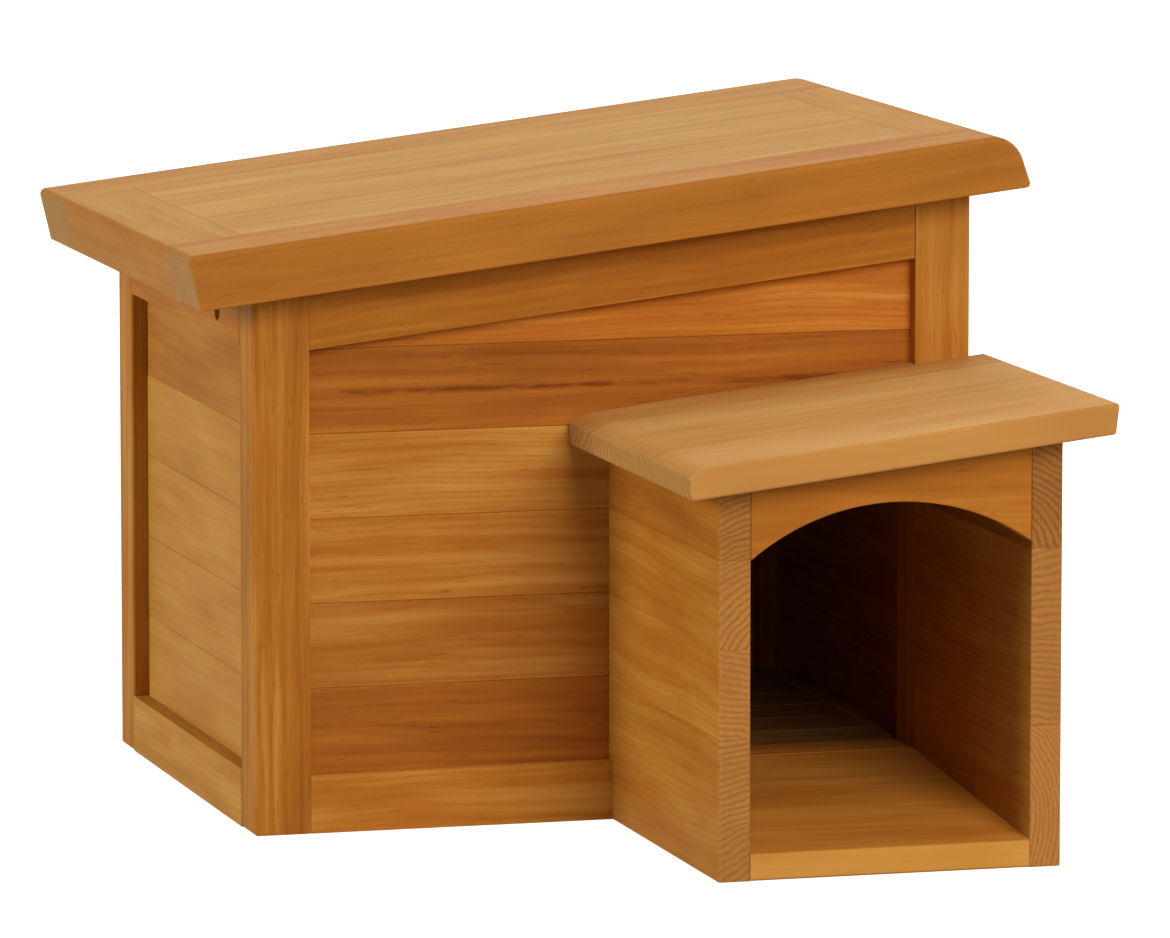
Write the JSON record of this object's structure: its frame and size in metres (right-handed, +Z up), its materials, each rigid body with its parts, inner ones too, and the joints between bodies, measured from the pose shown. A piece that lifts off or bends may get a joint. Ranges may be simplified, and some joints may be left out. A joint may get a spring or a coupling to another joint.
{
  "type": "hedgehog house",
  "caption": "Framed and boarded timber hedgehog house with a hinged lean-to lid and an arched entrance porch with its own roof and a ramp.",
  "frame": {"origin": "on the ground, under the middle of the outline of the closed house seen from above", "axes": "+X to the right along the front, up the slope of the lid; +Y from the porch to the back; +Z up"},
  "size_m": [0.4668, 0.561, 0.3673],
  "materials": {
    "frame_timber": "oiled, satin",
    "board_timber": "oiled, satin",
    "lid_timber": "oiled, satin",
    "porch_timber": "oiled, satin",
    "porch_roof_timber": "oiled, satin",
    "plain_timber": "planed, oiled",
    "brass": "satin"
  },
  "bodies": {
    "house": {"post_front_left": "frame_timber", "post_front_right": "frame_timber", "post_back_left": "frame_timber", "post_back_right": "frame_timber", "rail_front_bottom": "frame_timber", "rail_front_top": "frame_timber", "rail_back_bottom": "frame_timber", "rail_back_top": "frame_timber", "rail_left_bottom": "frame_timber", "rail_left_top": "frame_timber", "rail_right_bottom": "frame_timber", "rail_right_top": "frame_timber", "front_board_1": "board_timber", "front_board_2": "board_timber", "front_board_3": "board_timber", "front_board_4": "board_timber", "front_board_5": "board_timber", "front_board_6": "board_timber", "left_board_1": "board_timber", "left_board_2": "board_timber", "left_board_3": "board_timber", "left_board_4": "board_timber", "left_board_5": "board_timber", "right_boards": "board_timber", "back_boards": "board_timber", "floor_boards": "plain_timber", "floor_battens": "plain_timber", "porch_left_1": "porch_timber", "porch_left_2": "porch_timber", "porch_left_3": "porch_timber", "porch_left_4": "porch_timber", "porch_right_1": "porch_timber", "porch_right_2": "porch_timber", "porch_right_3": "porch_timber", "porch_right_4": "porch_timber", "porch_arch": "porch_timber", "porch_ramp": "porch_timber", "ramp_cleat": "plain_timber", "porch_roof_1": "porch_roof_timber", "porch_roof_2": "porch_roof_timber", "porch_roof_3": "porch_roof_timber", "porch_roof_4": "porch_roof_timber", "porch_roof_5": "porch_roof_timber", "porch_screws": "brass", "hinge_leaves_box": "brass", "hinge_pins": "brass", "hinge_screws_box": "brass"},
    "lid": {"lid_rail_front": "lid_timber", "lid_rail_back": "lid_timber", "lid_rail_left": "lid_timber", "lid_rail_right": "lid_timber", "lid_board_1": "lid_timber", "lid_board_2": "lid_timber", "lid_board_3": "lid_timber", "lid_board_4": "lid_timber", "lid_board_5": "lid_timber", "lid_battens": "plain_timber", "hinge_leaves_lid": "brass", "hinge_screws_lid": "brass"}
  },
  "joints": [
    {"name": "lid_hinge", "type": "hinge", "parent": "house", "child": "lid", "pos_m": [-0.11264, 0.265, 0.29602], "axis": [-0.9934, 0, -0.1149], "range_deg": [0, 95]}
  ]
}
